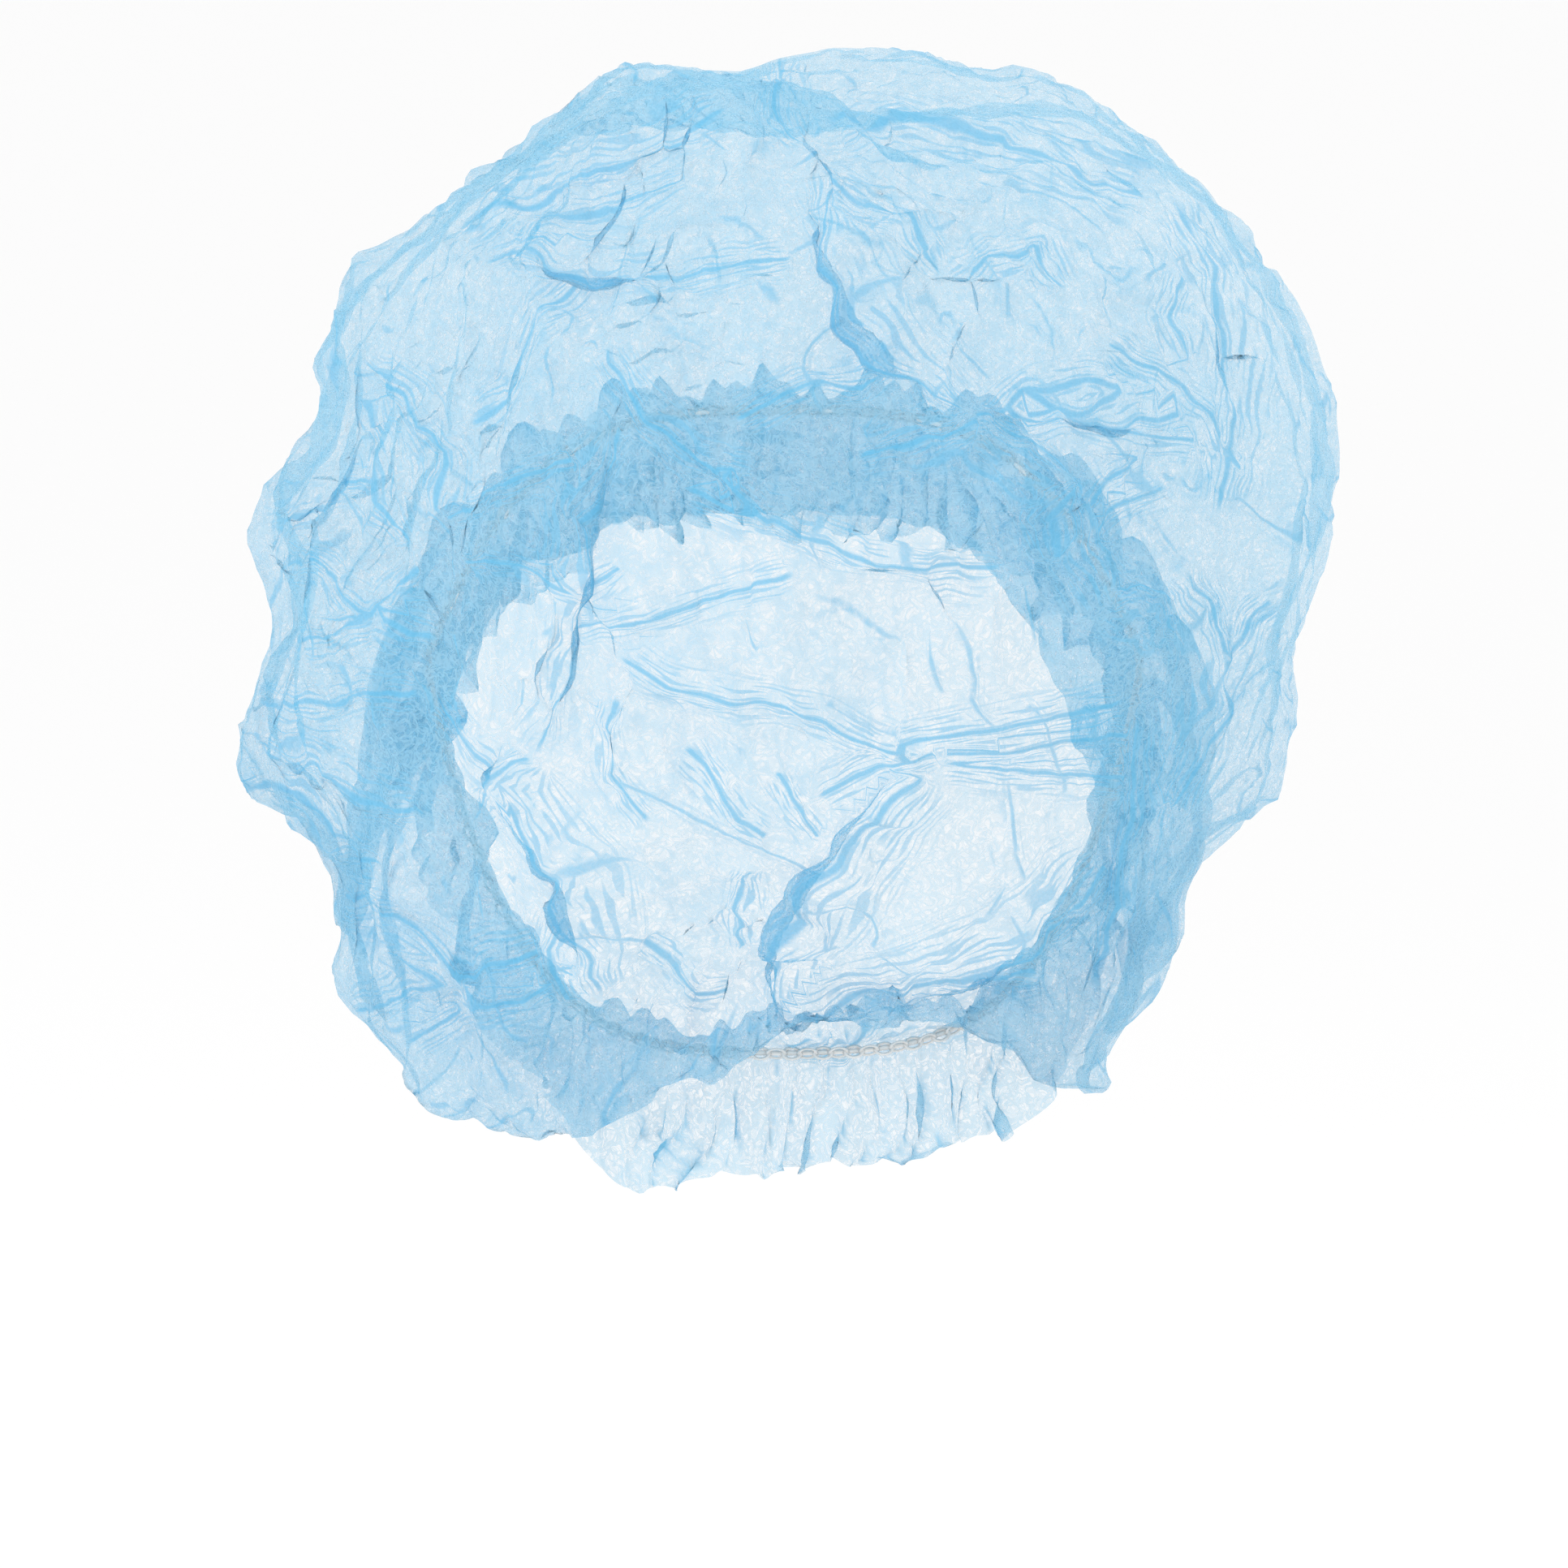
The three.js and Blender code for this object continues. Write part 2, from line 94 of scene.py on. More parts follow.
# The folds that show in the photograph, as pixels of it. width and height are in millimetres, and lay
# says how far the fold is laid over to its right as a share of its width.
FOLDS = [
    ("crown_pleat", 7, 3.0, 1.1, [(1010, 190), (1045, 290), (1110, 400), (1150, 465), (1190, 520)]),
    ("back_pleat", 7, 3.5, -1.0, [
        (1185, 520), (1240, 545), (1285, 590), (1300, 640), (1345, 700), (1380, 745)]),
    ("back_pleat_end", 6, 3.0, -0.8, [(1370, 735), (1410, 760), (1445, 790)]),
    ("back_pleat_point", 4, 2.0, 0.7, [(1200, 525), (1130, 550), (1055, 562)]),
    ("crown_crease", 3.5, 1.6, 0.4, [(1010, 190), (1075, 245), (1120, 265), (1165, 330)]),
    ("crown_crease_right", 4, 1.8, 0.5, [(1180, 345), (1225, 310), (1280, 298), (1310, 360)]),
    ("right_brow_fold", 5, 2.2, 0.7, [(1230, 515), (1300, 490), (1380, 500), (1480, 510)]),
    ("right_brow_crease", 3.5, 1.6, 0.5, [(1100, 445), (1060, 470), (990, 475), (900, 520)]),
    ("middle_crease", 4, 2.4, 0.8, [
        (835, 595), (890, 620), (960, 640), (1080, 690), (1170, 705), (1245, 708)]),
    ("lower_crease", 4, 2.6, 0.8, [
        (755, 805), (830, 845), (935, 868), (1020, 885), (1095, 925), (1150, 935)]),
    ("lower_crease_right", 3.5, 2.0, 0.6, [(1085, 925), (1160, 905), (1270, 885), (1400, 868)]),
    ("lower_crease_left", 3, 1.6, 0.5, [(1165, 925), (1080, 950), (1010, 985)]),
    ("nape_pleat", 7, 3.2, 1.0, [(1150, 945), (1085, 1040), (1040, 1110), (990, 1180), (960, 1290)]),
    ("nape_band", 7, 2.8, -1.0, [(1380, 1045), (1300, 1120), (1180, 1190), (1060, 1240), (950, 1290)]),
    ("nape_band_low", 5, 2.2, -0.7, [(1290, 1190), (1180, 1230), (1060, 1270), (985, 1300)]),
    ("left_ridge_top", 4, 2.6, 0.8, [(745, 425), (765, 465), (805, 515), (860, 565), (935, 590)]),
    ("left_ridge", 5, 3.2, -0.9, [
        (770, 510), (735, 570), (700, 630), (690, 700), (685, 780), (675, 860), (655, 940)]),
    ("left_knot", 5, 3.0, 0.8, [(655, 935), (620, 985), (590, 1000)]),
    ("left_ribbon", 7, 3.0, 1.0, [(625, 975), (690, 1040), (735, 1085), (750, 1150), (740, 1240)]),
    ("left_ribbon_low", 4, 2.0, 0.7, [(700, 1120), (680, 1170), (700, 1240)]),
    ("left_spindle", 5, 1.8, 0.8, [(610, 303), (690, 308), (760, 320), (825, 316)]),
    ("left_spindle_low", 3.5, 1.8, 0.6, [(710, 345), (800, 340), (880, 330), (985, 316)]),
    ("left_zigzag", 4, 2.0, 0.7, [(570, 520), (620, 480), (655, 400), (720, 350)]),
    ("left_side_line", 4, 2.2, 0.7, [(440, 440), (500, 480), (540, 560), (530, 640)]),
    ("left_cheek_line", 4, 2.2, -0.7, [(330, 690), (400, 700), (450, 760), (520, 790)]),
    ("left_bulge_line", 5, 2.4, 0.8, [(300, 920), (380, 930), (450, 980), (530, 1000)]),
    ("left_lobe_line", 5, 2.6, -0.8, [(400, 1100), (470, 1140), (540, 1180), (600, 1260)]),
    ("left_lobe_low", 5, 2.6, 0.8, [(430, 1250), (500, 1210), (590, 1180), (680, 1170)]),
    ("right_side_line", 6, 2.8, 0.9, [(1440, 240), (1500, 330), (1540, 440), (1520, 560), (1500, 640)]),
    ("right_side_low", 6, 2.8, -0.9, [(1460, 700), (1490, 800), (1480, 900), (1440, 1010)]),
    ("right_lobe_line", 5, 2.6, 0.9, [(1400, 880), (1410, 1000), (1390, 1120), (1360, 1230)]),
    ("right_dome_line", 5, 2.0, 0.8, [(1010, 150), (1120, 150), (1240, 172), (1330, 205), (1430, 245)]),
    ("left_dome_line", 5, 2.0, -0.8, [(905, 130), (800, 165), (700, 205), (620, 250), (560, 300)]),
    ("top_spike", 4, 2.0, 0.8, [(962, 70), (966, 100), (960, 135), (985, 175)]),
    ("right_fan_top", 2.5, 1.6, 0.5, [(1215, 515), (1265, 480), (1340, 465), (1400, 478)]),
    ("right_fan_low", 2.5, 1.4, -0.5, [(1225, 525), (1320, 512), (1400, 540), (1490, 545)]),
    ("right_fine_a", 2.2, 1.3, 0.5, [(1320, 645), (1360, 600), (1410, 560)]),
    ("right_fine_b", 2.2, 1.3, -0.5, [(1345, 670), (1385, 625), (1440, 600)]),
    ("right_fine_c", 2.2, 1.3, 0.5, [(1300, 590), (1270, 640), (1300, 700)]),
    ("middle_fine_a", 2.2, 1.3, 0.5, [(690, 790), (780, 765), (880, 735), (990, 705)]),
    ("middle_fine_b", 2.2, 1.3, -0.5, [(700, 755), (735, 725), (770, 698)]),
    ("middle_fine_c", 2.2, 1.3, 0.5, [(845, 925), (880, 965), (910, 1005), (950, 1035)]),
    ("middle_fine_d", 2.2, 1.3, -0.5, [(955, 955), (975, 990), (1010, 1035)]),
    ("middle_fine_e", 2.2, 1.3, 0.5, [(925, 1070), (905, 1130), (910, 1185)]),
    ("middle_fine_f", 2.2, 1.3, 0.5, [(795, 1165), (835, 1195), (865, 1235), (895, 1255)]),
    ("middle_fine_g", 2.2, 1.3, -0.5, [(750, 855), (742, 900), (748, 960), (800, 1015)]),
    ("middle_fine_h", 2.2, 1.3, 0.5, [(870, 560), (905, 600), (960, 650)]),
    ("lower_fan_a", 2.4, 1.4, 0.5, [(1155, 935), (1230, 925), (1320, 912), (1410, 905)]),
    ("lower_fan_b", 2.4, 1.4, -0.5, [(1160, 945), (1240, 958), (1330, 962), (1420, 955)]),
    ("cheek_fine_a", 2.4, 1.5, 0.5, [(520, 860), (560, 900), (605, 945), (640, 985)]),
    ("cheek_fine_b", 2.4, 1.5, -0.5, [(540, 640), (600, 610), (660, 590), (720, 560)]),
    ("cheek_fine_c", 2.4, 1.5, 0.5, [(560, 700), (610, 690), (660, 700), (690, 740)]),
    ("left_edge_a", 3, 1.8, 0.7, [(325, 650), (380, 612), (430, 590), (480, 595)]),
    ("left_edge_b", 3, 1.8, -0.7, [(345, 790), (410, 795), (460, 770), (510, 690)]),
    ("left_edge_c", 3, 1.8, 0.7, [(310, 855), (390, 868), (450, 850), (510, 865)]),
    ("left_edge_d", 3, 1.8, -0.7, [(300, 955), (360, 990), (405, 1050), (470, 1075)]),
    ("left_edge_e", 3, 1.8, 0.7, [(430, 480), (470, 540), (460, 610), (490, 680)]),
    ("left_corner", 3, 1.8, -0.7, [(500, 1290), (570, 1250), (650, 1235), (720, 1180)]),
    ("near_dome", 3, 1.8, 0.7, [(600, 335), (660, 285), (740, 245), (850, 215)]),
    ("right_edge_a", 4, 2.0, -0.8, [(1360, 420), (1430, 465), (1495, 520), (1540, 600)]),
    ("right_edge_b", 3, 1.8, 0.7, [(1570, 735), (1530, 790), (1475, 835)]),
    ("right_edge_c", 3, 1.8, -0.7, [(1460, 330), (1440, 390), (1470, 450)]),
]

# How far above the cloth's edge the waist lies, and the gathers round it: their count, reach and depth
WAIST_RISE = 30 * MM
GATHERS = [(19, 85 * MM, 2.4 * MM), (43, 50 * MM, 1.8 * MM), (88, 32 * MM, 1.6 * MM)]
GATHERS_PINCHED = 6 * MM

# The frill, and the lifted hem over the nape's stitching
FRILL_LENGTH = 25 * MM
RUFFLES = 44
RUFFLE_HEIGHT = 2.8 * MM
RUFFLE_LEAN = 1.5 * MM
NAPE_LIFT = 8 * MM
NAPE_LIFT_MIDDLE = 18 * MM
NAPE_LIFT_REACH = 32 * MM
NAPE_LIFT_TOP = 148 * MM

# Without a seed the noise that bends the facets and creases follows the clock
CHANCE_SEED = 5

# How far a fold of one unit rises, and how far it is laid over
FOLD_RISE = 0.45 * MM
FOLD_LAY = 1.8 * MM
NARROW_FOLD = 4.5
NARROW_LAY = 0.3
FOLD_TAPER = 2.6
FAN_SPREAD = 1.5
FAN_LEAST = 4

# The crumpled facets: their size, the height and width of their ridges, and how patchy they are
FACETS = [
    (38 * MM, 5.0 * MM, 1.8 * MM, 0.8),
    (17 * MM, 1.7 * MM, 1.4 * MM, 1.4),
    (7.5 * MM, 0.5 * MM, 1.2 * MM, 1.8),
]
FACET_DROP = 0.62
FACET_LINE = 0.35
FACET_TOP = 0.55
FACET_PATCHES = 16
FACETS_TO_LEFT = 3.5
WARP_FINENESS = 13
WARP_DEPTH = 14 * MM

# The long fine creases: the way they run, their spacing, and how rare they are
CREASES = [
    ((0.95, 0.1, -0.28), 6 * MM, -0.12),
    ((-0.55, 0.2, 0.82), 5.5 * MM, -0.05),
    ((0.7, -0.3, 0.66), 6 * MM, -0.05),
    ((0.2, 0.75, -0.6), 5.5 * MM, -0.05),
]
CREASE_HEIGHT = 0.7 * MM
CREASE_STRETCH = 0.93
CREASE_PATCHES = 24

# How much of a broad swelling is taken back, so that the outline stays, and over what width
OUTLINE_HELD = 0.9
OUTLINE_REACH = 10
OUTLINE_INSET = 0.8 * MM

# How sharp a bend shows as a dense line, and how sharp a bend is let out
BEND_SEEN = (0.4, 1.5)
BEND_EASED = (0.65, 1.5)
EASE_ROUNDS = 4

# The elastic's core and the chain stitch round it
CORE_SHRINK = 0.6 * MM
LINK_RADIUS = 1.15 * MM
LINK_THREAD = 0.3 * MM
LINK_LENGTH = 1.55
LINK_SPACING = 3.1 * MM
LINK_TILT = math.radians(24)

# Finishes: linear colours, sizes in metres, and how many layers of fibres have the most detail
CLOTH_BLUE = (0.22, 0.56, 0.77)
CLOTH_PALE = (0.58, 0.79, 0.89)
CREASE_BLUE = (0.14, 0.53, 0.79)
THREAD_WHITE = (0.86, 0.87, 0.86)
FIBRE_SIZES = [2.6 * MM, 2.1 * MM, 1.7 * MM, 1.3 * MM, 3.4 * MM]
FIBRE_WIDTH = 0.15 * MM
TOP_LAYERS = 2
FLECK_SIZE = 0.5 * MM
SWIRL_SIZE = 2.5 * MM
SWIRL_DEPTH = 3 * MM
MOST_BUNCHED = (1.35, 2.8)
COVER_FLAT = 0.4
COVER_BUNCHED = 0.2
CREASE_COVER = 0.74

# The floor, and the soft lamps: their name, place, size and power
FLOOR_DEPTH = 0.75
FLOOR_SIZE = 90
LAMPS = [
    ("key_light", (-0.9, -1.3, 1.0), 0.9, 9),
    ("rim_light", (1.2, 0.8, 0.7), 0.8, 5),
]


# The frame's cloth, read as rings of points

def outer_rings(node):
    """The outer skin of the closed cloth, as one row of points for each ring round the crown."""
    bm = bmesh.new()
    bm.from_mesh(node.data)
    bmesh.ops.remove_doubles(bm, verts=bm.verts, dist=0.01 * MM)
    seats = sorted(bm.verts, key=lambda v: math.hypot(v.co.x, v.co.y))[:2]
    start = max(seats, key=lambda v: v.co.z)
    depth = {start: 0}
    rings = [[start]]
    while rings[-1]:
        step = {e.other_vert(v) for v in rings[-1] for e in v.link_edges} - set(depth)
        depth.update((v, len(rings)) for v in step)
        rings.append(list(step))
    outer = (len(rings) - 2) // 2
    points = np.array([ring_points(ring, depth) for ring in rings[1:outer + 1]])
    seat = np.array(start.co)
    bm.free()
    return seat, points


def ring_points(ring, depth):
    """A ring's points in order, from the nape and on towards +X."""
    first = min(ring, key=lambda v: abs(math.atan2(v.co.x, -v.co.y)))
    order = [first]
    beside = [e.other_vert(first) for e in first.link_edges if depth[e.other_vert(first)] == depth[first]]
    order.append(max(beside, key=lambda v: math.atan2(v.co.x, -v.co.y)))
    while len(order) < len(ring):
        here = order[-1]
        others = [e.other_vert(here) for e in here.link_edges]
        order.append(next(v for v in others if depth[v] == depth[here] and v is not order[-2]))
    return [tuple(v.co) for v in order]


def cubic(values, places, closed):
    """Values at fractional places along the first axis, by a cubic through them."""
    count = len(values)
    low = np.floor(places).astype(int)
    t = (places - low)[:, None, None]
    near = (low + k for k in (-1, 0, 1, 2))
    a, b, c, d = (values[k % count if closed else np.clip(k, 0, count - 1)] for k in near)
    return 0.5 * (2 * b + (c - a) * t + (2 * a - 5 * b + 4 * c - d) * t**2 + (3 * b - a - 3 * c + d) * t**3)


def turns_of(columns):
    """Where each column stands round the cap, in turns from the nape, closest together there."""
    u = np.arange(columns) / columns
    return u - NAPE_CROWDING * np.sin(2 * math.pi * u) / (2 * math.pi)


def smooth_grid(seat, rings):
    """The skin as even rows of points down the cloth."""
    turns = turns_of(SIM_COLUMNS)
    across = cubic(rings.transpose(1, 0, 2), turns * rings.shape[1], True).transpose(1, 0, 2)
    across = np.concatenate([np.broadcast_to(seat, (1, SIM_COLUMNS, 3)), across])
    steps = np.linalg.norm(np.diff(across, axis=0), axis=2).mean(axis=1)
    down = np.concatenate([[0], np.cumsum(steps)])
    wanted = np.linspace(SEAT_ROW, down[-1], SIM_ROWS)
    grid = cubic(across, np.interp(wanted, down, np.arange(len(down))), False)
    return grid, wanted


def finer_grid(grid, down):
    """The same skin with more rows and columns."""
    columns = np.arange(COLUMNS) / FINER
    grid = cubic(grid.transpose(1, 0, 2), columns, True).transpose(1, 0, 2)
    rows = np.linspace(0, SIM_ROWS - 1, ROWS)
    return cubic(grid, rows, False), np.interp(rows, np.arange(SIM_ROWS), down)


# The buckling of the cloth

def grid_mesh(name, seat, grid):
    """A sheet through the rows of points, closed at the seat."""
    rows, columns = grid.shape[:2]
    points = [tuple(seat)] + [tuple(p) for p in grid.reshape(-1, 3)]

    def corner(row, column):
        return 1 + row * columns + column % columns

    faces = [(0, corner(0, k), corner(0, k + 1)) for k in range(columns)]
    faces += [
        (corner(r, k), corner(r + 1, k), corner(r + 1, k + 1), corner(r, k + 1))
        for r in range(rows - 1) for k in range(columns)
    ]
    mesh = bpy.data.meshes.new(name)
    mesh.from_pydata(points, [], faces)
    return mesh


def add_group(sheet, name, weights):
    group = sheet.vertex_groups.new(name=name)
    for index, weight in enumerate(weights):
        group.add([index], float(weight), "REPLACE")
    return name


def spare_shares(grid):
    """Where the cloth has more to spare, 0 to 1: in patches, and more so to the left."""
    shares = [
        0.5 + SPARE_PATCH * noise.noise(Vector(p) * 12 + Vector((2, 6, 1))) - SPARE_TO_LEFT * p[0]
        for p in grid.reshape(-1, 3)
    ]
    return np.clip(shares, 0, 1)


def buckle(seat, grid, down):
    """Lets the cloth, which is a little too large for the skin, buckle into wrinkles."""
    mesh = grid_mesh("buckling", seat, grid)
    sheet = bpy.data.objects.new("buckling", mesh)
    bpy.context.scene.collection.objects.link(sheet)
    waist = down[-1] - WAIST_RISE
    hold = HOLD_CROWN + (HOLD_WAIST - HOLD_CROWN) * smooth_step(down, waist - 30 * MM, waist - 4 * MM)
    holds = np.broadcast_to(hold[:, None], grid.shape[:2]).ravel()
    modifier = sheet.modifiers.new("buckle", "CLOTH")
    settings = modifier.settings
    settings.vertex_group_mass = add_group(sheet, "hold", np.concatenate([[1], holds]))
    settings.vertex_group_shrink = add_group(sheet, "spare", np.concatenate([[0], spare_shares(grid)]))
    settings.shrink_min = -SPARE_LEAST
    settings.shrink_max = -SPARE_MOST
    settings.quality = 5
    settings.mass = 0.002
    settings.tension_stiffness = CLOTH_STIFFNESS
    settings.compression_stiffness = CLOTH_STIFFNESS
    settings.shear_stiffness = CLOTH_SHEAR
    settings.bending_stiffness = CLOTH_BENDING
    settings.air_damping = 2
    settings.pin_stiffness = 1
    settings.effector_weights.gravity = 0
    modifier.collision_settings.use_collision = False
    modifier.point_cache.frame_start = 1
    modifier.point_cache.frame_end = SIM_FRAMES
    scene = bpy.context.scene
    for frame in range(1, SIM_FRAMES + 1):
        scene.frame_set(frame)
    result = sheet.evaluated_get(bpy.context.evaluated_depsgraph_get()).to_mesh()
    moved = np.empty(len(result.vertices) * 3)
    result.vertices.foreach_get("co", moved)
    scene.frame_set(1)
    bpy.data.objects.remove(sheet)
    bpy.data.meshes.remove(mesh)
    return moved.reshape(-1, 3)[1:].reshape(grid.shape)


def normals_of(grid):
    """The way out of the skin at each of its points."""
    down = np.gradient(grid, axis=0)
    around = np.roll(grid, -1, axis=1) - np.roll(grid, 1, axis=1)
    out = np.cross(down, around)
    return out / (np.linalg.norm(out, axis=2, keepdims=True) + 1e-12)


# The photograph's view

def view_axes():
    """The camera's way back, up and right."""
    back = Vector((0, -math.cos(CAMERA_ELEVATION), math.sin(CAMERA_ELEVATION)))
    up = Vector((0, math.sin(CAMERA_ELEVATION), math.cos(CAMERA_ELEVATION)))
    return back, up, Vector((1, 0, 0))


def photo_places(grid):
    """Where each point lies in the photograph, in pixels."""
    back, up, right = (np.array(v) for v in view_axes())
    offset = grid - np.array(CAMERA_AIM)
    shrink = CAMERA_DISTANCE / (CAMERA_DISTANCE - offset @ back) / PHOTO_SCALE
    x = PHOTO_MIDDLE_X + (offset @ right) * shrink
    y = PHOTO_WIDTH / 2 - (offset @ up) * shrink
    return np.stack([x, y], axis=2)


def make_camera():
    back, up, right = view_axes()
    data = bpy.data.cameras.new("camera")
    data.sensor_width = SENSOR
    data.lens = SENSOR * CAMERA_DISTANCE / (PHOTO_WIDTH * PHOTO_SCALE)
    camera = bpy.data.objects.new("camera", data)
    camera.location = CAMERA_AIM + back * CAMERA_DISTANCE
    camera.rotation_mode = "QUATERNION"
    camera.rotation_quaternion = (-back).to_track_quat("-Z", "Y")
    bpy.context.scene.collection.objects.link(camera)
    bpy.context.scene.camera = camera


# The folds and wrinkles of the cloth

def nearest_on_line(places, line):
    """For each place, how far it lies to the right of a line of points, and how far along, in pixels."""
    line = np.array(line, float)
    lengths = np.concatenate([[0], np.cumsum(np.linalg.norm(np.diff(line, axis=0), axis=1))])
    best = np.full(places.shape[:2], 1e9)
    side = np.zeros_like(best)
    along = np.zeros_like(best)
    slope = np.zeros(places.shape)
    for a, b, start in zip(line, line[1:], lengths):
        run = b - a
        length = np.linalg.norm(run)
        t = np.clip((places - a) @ run / length**2, 0, 1)
        away = places - (a + t[..., None] * run)
        distance = np.linalg.norm(away, axis=2)
        closer = distance < best
        best[closer] = distance[closer]
        across = np.array([-run[1], run[0]]) / length
        side[closer] = (distance * np.sign(away @ across))[closer]
        along[closer] = (start + t * length)[closer]
        slope[closer] = across
    return side, along / lengths[-1], slope


def lay_folds(smooth):
    """How each point moves as its folds rise and are laid over, and where it lies beside them."""
    back, up, right = (np.array(v) for v in view_axes())
    normals = normals_of(smooth)
    places = photo_places(smooth)
    facing = np.clip(normals @ back * 4, 0, 1)
    moves = np.zeros_like(smooth)
    beside = {name: np.zeros(smooth.shape[:2]) for name in ("fold_across", "fold_along", "fold_near")}
    for _, width, height, lay, line in FOLDS:
        side, along, across = nearest_on_line(places, line)
        offset = side * PHOTO_SCALE / MM
        wander = 0.85 + 0.3 * np.sin(along * 9 + width) * np.sin(along * 23 + len(line))
        ends = np.clip(np.minimum(along, 1 - along) * FOLD_TAPER, 0, 1) * wander
        ridge = np.clip(1 - (offset / width) ** 2, 0, 1) ** 2 * ends * facing
        aside = across[..., :1] * right - across[..., 1:] * up
        aside = aside - normals * np.sum(aside * normals, axis=2, keepdims=True)
        laid = lay * width * (FOLD_LAY if width > NARROW_FOLD else FOLD_LAY * NARROW_LAY)
        moves += ridge[..., None] * (normals * height * FOLD_RISE + aside * laid)
        near = np.clip(1 - abs(offset) / (width * FAN_SPREAD + FAN_LEAST), 0, 1) * facing
        near = near * np.clip(np.minimum(along, 1 - along) * 8 + 0.15, 0, 1)
        closest = near > beside["fold_near"]
        beside["fold_near"][closest] = near[closest]
        beside["fold_across"][closest] = (offset + 0.1 * width)[closest]
        beside["fold_along"][closest] = (along * len(line) * 14)[closest]
    return moves, beside


def smooth_step(values, low, high):
    t = np.clip((values - low) / (high - low), 0, 1)
    return t * t * (3 - 2 * t)


def gather_depths(turns, down):
    """The radial gathers: coarse and far-reaching ones, and finer ones close to the waist."""
    waist = down[-1] - WAIST_RISE
    depths = np.zeros((len(down), len(turns)))
    for index, (count, reach, depth) in enumerate(GATHERS):
        for row, s in enumerate(down):
            away = abs(s - waist) / reach
            hold = min(1, abs(s - waist) / GATHERS_PINCHED) * math.exp(-away * away * 2)
            if hold < 0.01:
                continue
            height = s * 14 + index * 7
            places = [Vector((math.cos(t) * 2, math.sin(t) * 2, height)) for t in turns]
            wander = [1.7 * noise.noise(place) for place in places]
            depths[row] += depth * hold * np.sin(turns * count + wander)
    return depths


def crown_share(down, low, high):
    """1 over the crown and 0 at the waist, between two heights above the cloth's edge, as a column."""
    return (1 - smooth_step(down, down[-1] - low, down[-1] - high))[:, None]


def start_depths(grid):
    """Slight unevenness for the buckling to start from."""
    flat = [START_DEPTH * noise.noise(Vector(p) * START_FINENESS) for p in grid.reshape(-1, 3)]
    return np.array(flat).reshape(grid.shape[:2])


def crumple(grid):
    """The crumpled cloth's heights, how near a ridge is, how far a fine crease is, and how strong."""
    flat = grid.reshape(-1, 3)
    fields = np.zeros((4, len(flat)))
    for k, point in enumerate(flat):
        p = Vector(point)
        warped = p + noise.noise_vector(p * WARP_FINENESS) * WARP_DEPTH
        warped.z *= FACET_DROP
        facets = facet_at(p, warped)
        away, near = crease_at(p, warped)
        fields[:, k] = facets[0] + CREASE_HEIGHT * max(0, 1 - abs(away)) * near, facets[1], away, near
    return fields.reshape(4, *grid.shape[:2])


def facet_at(p, warped):
    """The height of the hollow facets at a point, and how near their ridges are, 0 to 1."""
    height = ridge = 0
    for index, (size, rise, width, patch) in enumerate(FACETS):
        near = noise.voronoi(warped / size + Vector((index * 5, 2, 7)))[0]
        patches = noise.noise(p * FACET_PATCHES + Vector((index * 3, 5, 5)))
        where = 0.5 + patch * patches - p.x * FACETS_TO_LEFT
        share = min(1, max(0, where))
        height += rise * (min(near[0] ** 2, FACET_TOP) * 4 - 1.6) * share
        line = 1 - min(1, (near[1] - near[0]) * size / width)
        ridge = max(ridge, share * line * FACET_LINE)
    return height, ridge


def crease_at(p, warped):
    """How many millimetres to one side the nearest fine crease lies, and how strong it is, 0 to 1."""
    patches = [
        noise.noise(p * CREASE_PATCHES + Vector((index * 4, 1, 9))) - crease[2]
        for index, crease in enumerate(CREASES)
    ]
    best = max(range(len(CREASES)), key=patches.__getitem__)
    second = max(patches[:best] + patches[best + 1:])
    strength = patches[best] - p.x * 0.4 - p.y
    near = min(1, max(0, strength * 4)) * min(1, (patches[best] - second) * 8)
    along = Vector(CREASES[best][0])
    size = CREASES[best][1]
    drawn = (warped - along * (along.dot(warped) * CREASE_STRETCH)) / size + Vector((best * 7, 3, 1))
    level = noise.noise(drawn)
    beyond = noise.noise(drawn + along.cross(Vector((0, 1, 0))) * 0.15)
    near *= min(1, max(0, (beyond - level) * 14))
    return level * size / 1.5 / MM, near


def blurred(values):
    """Values averaged over a square patch of the grid."""
    reach = range(-OUTLINE_REACH, OUTLINE_REACH + 1)
    across = sum(np.roll(values, k, axis=1) for k in reach) / len(reach)
    rows = np.arange(len(values))
    return sum(across[np.clip(rows + k, 0, len(rows) - 1)] for k in reach) / len(reach)


def hold_outline(grid, smooth, down):
    """Takes back the broad swelling that the wrinkles bring."""
    crown = crown_share(down, 60 * MM, 34 * MM)[..., None]
    swelling = blurred(blurred(grid - smooth)) * OUTLINE_HELD
    return grid - (swelling + normals_of(smooth) * OUTLINE_INSET) * crown


